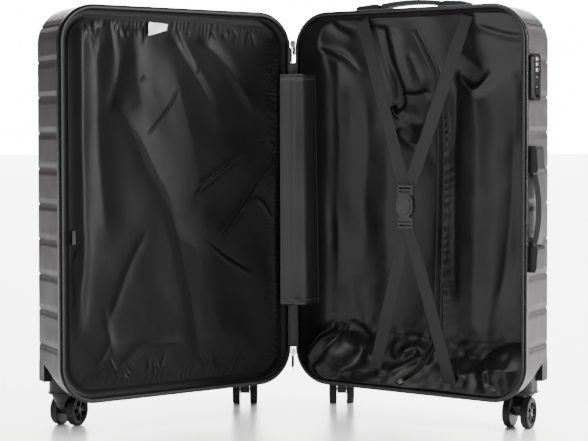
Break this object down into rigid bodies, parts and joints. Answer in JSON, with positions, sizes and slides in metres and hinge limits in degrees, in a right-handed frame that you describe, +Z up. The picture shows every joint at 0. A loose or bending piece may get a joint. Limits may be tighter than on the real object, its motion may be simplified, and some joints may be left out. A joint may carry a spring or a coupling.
{
  "type": "spinner suitcase",
  "caption": "Hard shell spinner suitcase standing open like a book, with ribbed halves, twin-wheel casters, cross straps, zipped divider, lock, carry and trolley handles.",
  "frame": {"origin": "on the floor, under the centre of the bounding box of the case as it stands open", "axes": "+X from the front half (with the divider) to the back half (with the trolley), the longest extent; +Y away from the open side, the shortest extent; +Z up"},
  "size_m": [0.925, 0.3476, 0.775],
  "materials": {
    "shell": "moulded textured satin",
    "trim": "satin extrusion",
    "zip_tape": "woven tape with nylon coil",
    "lining": "satin polyester",
    "divider": "satin polyester",
    "webbing": "woven webbing",
    "buckle_plastic": "fine moulded",
    "handle_plastic": "moulded",
    "handle_grip": "soft touch",
    "tube": "anodised",
    "lock_body": "polished black",
    "lock_dial": "knurled",
    "housing": "moulded",
    "fork": "moulded",
    "steel": "zinc plated",
    "wheel": "overmoulded polyurethane on a plastic hub",
    "label": "woven, blank",
    "zip_metal": "plated zinc",
    "puller": "moulded tab with a wire ring"
  },
  "bodies": {
    "back_half": {"back_shell": "shell", "back_edge_trim": "trim", "back_zip_tape": "zip_tape", "back_lining": "lining", "lining_zip": "zip_tape", "packing_straps": "webbing", "buckle_socket": "buckle_plastic", "buckle_tongue": "buckle_plastic", "trolley_bezel": "handle_plastic", "trolley_outer_tubes": "tube", "trolley_base": "handle_plastic", "top_handle_mounts": "handle_plastic", "side_handle_mounts": "handle_plastic", "lock_case": "lock_body", "back_outer_housing": "housing", "back_inner_housing": "housing", "back_screws": "steel", "hinge_strip": "zip_tape", "hinge_flap": "trim", "main_zip_sliders": "zip_metal"},
    "front_half": {"front_shell": "shell", "front_edge_trim": "trim", "front_zip_tape": "zip_tape", "front_lining": "lining", "divider_panel": "divider", "divider_zip": "zip_tape", "care_label": "label", "front_outer_housing": "housing", "front_inner_housing": "housing", "front_screws": "steel"},
    "buckle_release": {"buckle_button": "buckle_plastic"},
    "trolley_middle": {"trolley_middle_tubes": "tube"},
    "trolley_upper": {"trolley_inner_tubes": "tube", "trolley_grip": "handle_plastic"},
    "trolley_release": {"trolley_button": "handle_plastic"},
    "top_grip": {"top_handle_grip": "handle_grip"},
    "side_grip": {"side_handle_grip": "handle_grip"},
    "dial_1": {"lock_dial_1": "lock_dial"},
    "dial_2": {"lock_dial_2": "lock_dial"},
    "dial_3": {"lock_dial_3": "lock_dial"},
    "lock_slide": {"lock_release": "lock_body"},
    "divider_puller": {"divider_zip_puller": "zip_metal"},
    "puller_upper": {"zip_puller_upper": "puller"},
    "puller_lower": {"zip_puller_lower": "puller"},
    "back_outer_swivel": {"back_outer_fork": "fork", "back_outer_axle": "steel"},
    "back_outer_wheel_a": {"back_outer_wheel_a": "wheel"},
    "back_outer_wheel_b": {"back_outer_wheel_b": "wheel"},
    "back_inner_swivel": {"back_inner_fork": "fork", "back_inner_axle": "steel"},
    "back_inner_wheel_a": {"back_inner_wheel_a": "wheel"},
    "back_inner_wheel_b": {"back_inner_wheel_b": "wheel"},
    "front_outer_swivel": {"front_outer_fork": "fork", "front_outer_axle": "steel"},
    "front_outer_wheel_a": {"front_outer_wheel_a": "wheel"},
    "front_outer_wheel_b": {"front_outer_wheel_b": "wheel"},
    "front_inner_swivel": {"front_inner_fork": "fork", "front_inner_axle": "steel"},
    "front_inner_wheel_a": {"front_inner_wheel_a": "wheel"},
    "front_inner_wheel_b": {"front_inner_wheel_b": "wheel"}
  },
  "joints": [
    {"name": "lid_hinge", "type": "hinge", "parent": "back_half", "child": "front_half", "pos_m": [0, 0.06565, 0.408], "axis": [0, 0, 1], "range_deg": [-62, 118]},
    {"name": "buckle_press", "type": "slide", "parent": "back_half", "child": "buckle_release", "axis": [0.515, 0.8572, 0], "range_m": [0, 0.0015], "stiffness_N_per_m": 400},
    {"name": "trolley_lower_stage", "type": "slide", "parent": "back_half", "child": "trolley_middle", "axis": [0, 0, 1], "range_m": [0, 0.175]},
    {"name": "trolley_upper_stage", "type": "slide", "parent": "trolley_middle", "child": "trolley_upper", "axis": [0, 0, 1], "range_m": [0, 0.175]},
    {"name": "trolley_press", "type": "slide", "parent": "trolley_upper", "child": "trolley_release", "axis": [0, 0, -1], "range_m": [0, 0.0035], "stiffness_N_per_m": 600},
    {"name": "top_grip_lift", "type": "slide", "parent": "back_half", "child": "top_grip", "axis": [0, 0, 1], "range_m": [0, 0.003], "stiffness_N_per_m": 500},
    {"name": "side_grip_lift", "type": "slide", "parent": "back_half", "child": "side_grip", "axis": [0.8572, -0.515, 0], "range_m": [0, 0.0055], "stiffness_N_per_m": 500},
    {"name": "dial_1_turn", "type": "hinge", "parent": "back_half", "child": "dial_1", "pos_m": [0.41712, -0.14882, 0.6415], "axis": [0, 0, 1], "continuous": true},
    {"name": "dial_2_turn", "type": "hinge", "parent": "back_half", "child": "dial_2", "pos_m": [0.41712, -0.14882, 0.651], "axis": [0, 0, 1], "continuous": true},
    {"name": "dial_3_turn", "type": "hinge", "parent": "back_half", "child": "dial_3", "pos_m": [0.41712, -0.14882, 0.6605], "axis": [0, 0, 1], "continuous": true},
    {"name": "lock_release_slide", "type": "slide", "parent": "back_half", "child": "lock_slide", "axis": [0, 0, -1], "range_m": [0, 0.004], "stiffness_N_per_m": 300},
    {"name": "divider_puller_swing", "type": "hinge", "parent": "front_half", "child": "divider_puller", "pos_m": [-0.38266, -0.15471, 0.361], "axis": [-0.8572, -0.515, 0], "range_deg": [0, 80]},
    {"name": "puller_upper_swing", "type": "hinge", "parent": "back_half", "child": "puller_upper", "pos_m": [0.0022, 0.06875, 0.702], "axis": [1, 0, 0], "range_deg": [0, 80]},
    {"name": "puller_lower_swing", "type": "hinge", "parent": "back_half", "child": "puller_lower", "pos_m": [-0.001, 0.06565, 0.1058], "axis": [1, 0, 0], "range_deg": [-80, 80]},
    {"name": "back_outer_swivel", "type": "hinge", "parent": "back_half", "child": "back_outer_swivel", "pos_m": [0.41649, -0.06444, 0.062], "axis": [0, 0, 1], "continuous": true},
    {"name": "back_outer_wheel_a_roll", "type": "hinge", "parent": "back_outer_swivel", "child": "back_outer_wheel_a", "pos_m": [0.42352, -0.08743, 0.028], "axis": [0.8829, -0.4695, 0], "continuous": true},
    {"name": "back_outer_wheel_b_roll", "type": "hinge", "parent": "back_outer_swivel", "child": "back_outer_wheel_b", "pos_m": [0.3935, -0.07147, 0.028], "axis": [0.8829, -0.4695, 0], "continuous": true},
    {"name": "back_inner_swivel", "type": "hinge", "parent": "back_half", "child": "back_inner_swivel", "pos_m": [0.09505, 0.1287, 0.062], "axis": [0, 0, 1], "continuous": true},
    {"name": "back_inner_wheel_a_roll", "type": "hinge", "parent": "back_inner_swivel", "child": "back_inner_wheel_a", "pos_m": [0.07805, 0.1457, 0.028], "axis": [-1, 0, 0], "continuous": true},
    {"name": "back_inner_wheel_b_roll", "type": "hinge", "parent": "back_inner_swivel", "child": "back_inner_wheel_b", "pos_m": [0.11205, 0.1457, 0.028], "axis": [-1, 0, 0], "continuous": true},
    {"name": "front_outer_swivel", "type": "hinge", "parent": "front_half", "child": "front_outer_swivel", "pos_m": [-0.41649, -0.06444, 0.062], "axis": [0, 0, 1], "continuous": true},
    {"name": "front_outer_wheel_a_roll", "type": "hinge", "parent": "front_outer_swivel", "child": "front_outer_wheel_a", "pos_m": [-0.42588, -0.04231, 0.028], "axis": [-0.9272, 0.3746, 0], "continuous": true},
    {"name": "front_outer_wheel_b_roll", "type": "hinge", "parent": "front_outer_swivel", "child": "front_outer_wheel_b", "pos_m": [-0.39436, -0.05504, 0.028], "axis": [-0.9272, 0.3746, 0], "continuous": true},
    {"name": "front_inner_swivel", "type": "hinge", "parent": "front_half", "child": "front_inner_swivel", "pos_m": [-0.09505, 0.1287, 0.062], "axis": [0, 0, 1], "continuous": true},
    {"name": "front_inner_wheel_a_roll", "type": "hinge", "parent": "front_inner_swivel", "child": "front_inner_wheel_a", "pos_m": [-0.11205, 0.1457, 0.028], "axis": [-1, 0, 0], "continuous": true},
    {"name": "front_inner_wheel_b_roll", "type": "hinge", "parent": "front_inner_swivel", "child": "front_inner_wheel_b", "pos_m": [-0.07805, 0.1457, 0.028], "axis": [-1, 0, 0], "continuous": true}
  ]
}
